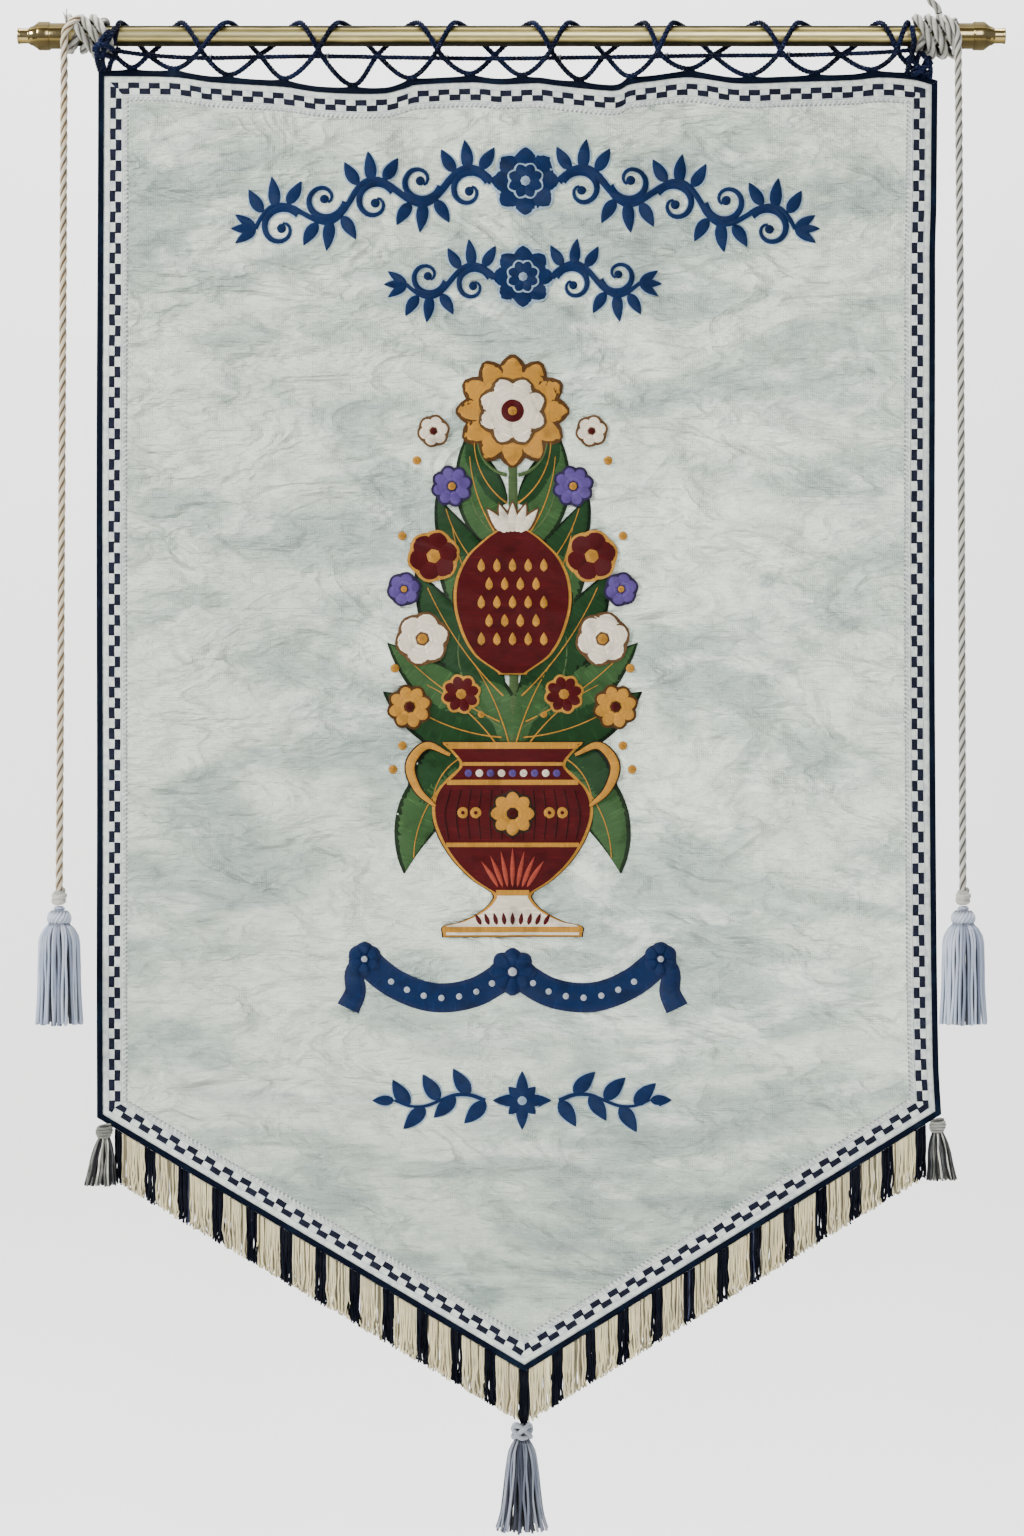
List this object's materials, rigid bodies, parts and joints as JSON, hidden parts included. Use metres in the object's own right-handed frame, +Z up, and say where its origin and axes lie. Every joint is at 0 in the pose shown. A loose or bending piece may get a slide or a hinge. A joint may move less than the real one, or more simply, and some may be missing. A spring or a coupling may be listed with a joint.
{
  "type": "lodge banner with its rod",
  "caption": "Pointed cloth banner with checked braid, fringe and tassels, laced to a brass rod with two hanging side ropes.",
  "frame": {"origin": "on the rod's axis at the middle of its length", "axes": "+Z up, +X along the rod to the viewer's right, the banner's face looks to -Y"},
  "size_m": [1.0744, 0.0773, 1.74],
  "materials": {
    "brass": "polished and slightly tarnished",
    "rope": "twisted cotton, cream with grey",
    "navy_cord": "twisted cord, navy",
    "silk": "silk, pale blue-grey, creased and stained",
    "braid": "woven braid, white with navy checks",
    "navy_binding": "folded tape, navy",
    "fringe": "cotton block fringe, cream and navy",
    "lavender": "twisted yarn, pale lavender blue",
    "grey": "yarn, dark grey with ecru"
  },
  "bodies": {
    "root": {"rod_tube": "brass", "finial_left": "brass", "finial_right": "brass", "banner_panel": "silk", "braid_top": "braid", "braid_left": "braid", "braid_right": "braid", "braid_foot_left": "braid", "braid_foot_right": "braid", "binding_top": "navy_binding", "binding_left": "navy_binding", "binding_right": "navy_binding", "binding_foot_left": "navy_binding", "binding_foot_right": "navy_binding", "lacing_cord_a": "navy_cord", "lacing_cord_b": "navy_cord", "header_cord": "navy_cord", "corner_tie_left": "navy_cord", "corner_tie_right": "navy_cord", "rope_knot_left": "rope", "rope_knot_right": "rope", "rope_left": "rope", "rope_right": "rope", "slip_knot_left": "rope", "slip_knot_right": "rope", "tassel_left": "lavender", "tassel_right": "lavender", "sling_rope": "rope", "sling_knot": "rope", "sling_loop": "rope", "fringe_left": "fringe", "fringe_right": "fringe", "corner_tassel_left": "grey", "corner_tassel_right": "grey", "point_hanger": "navy_cord", "point_tassel": "grey"}
  },
  "joints": []
}
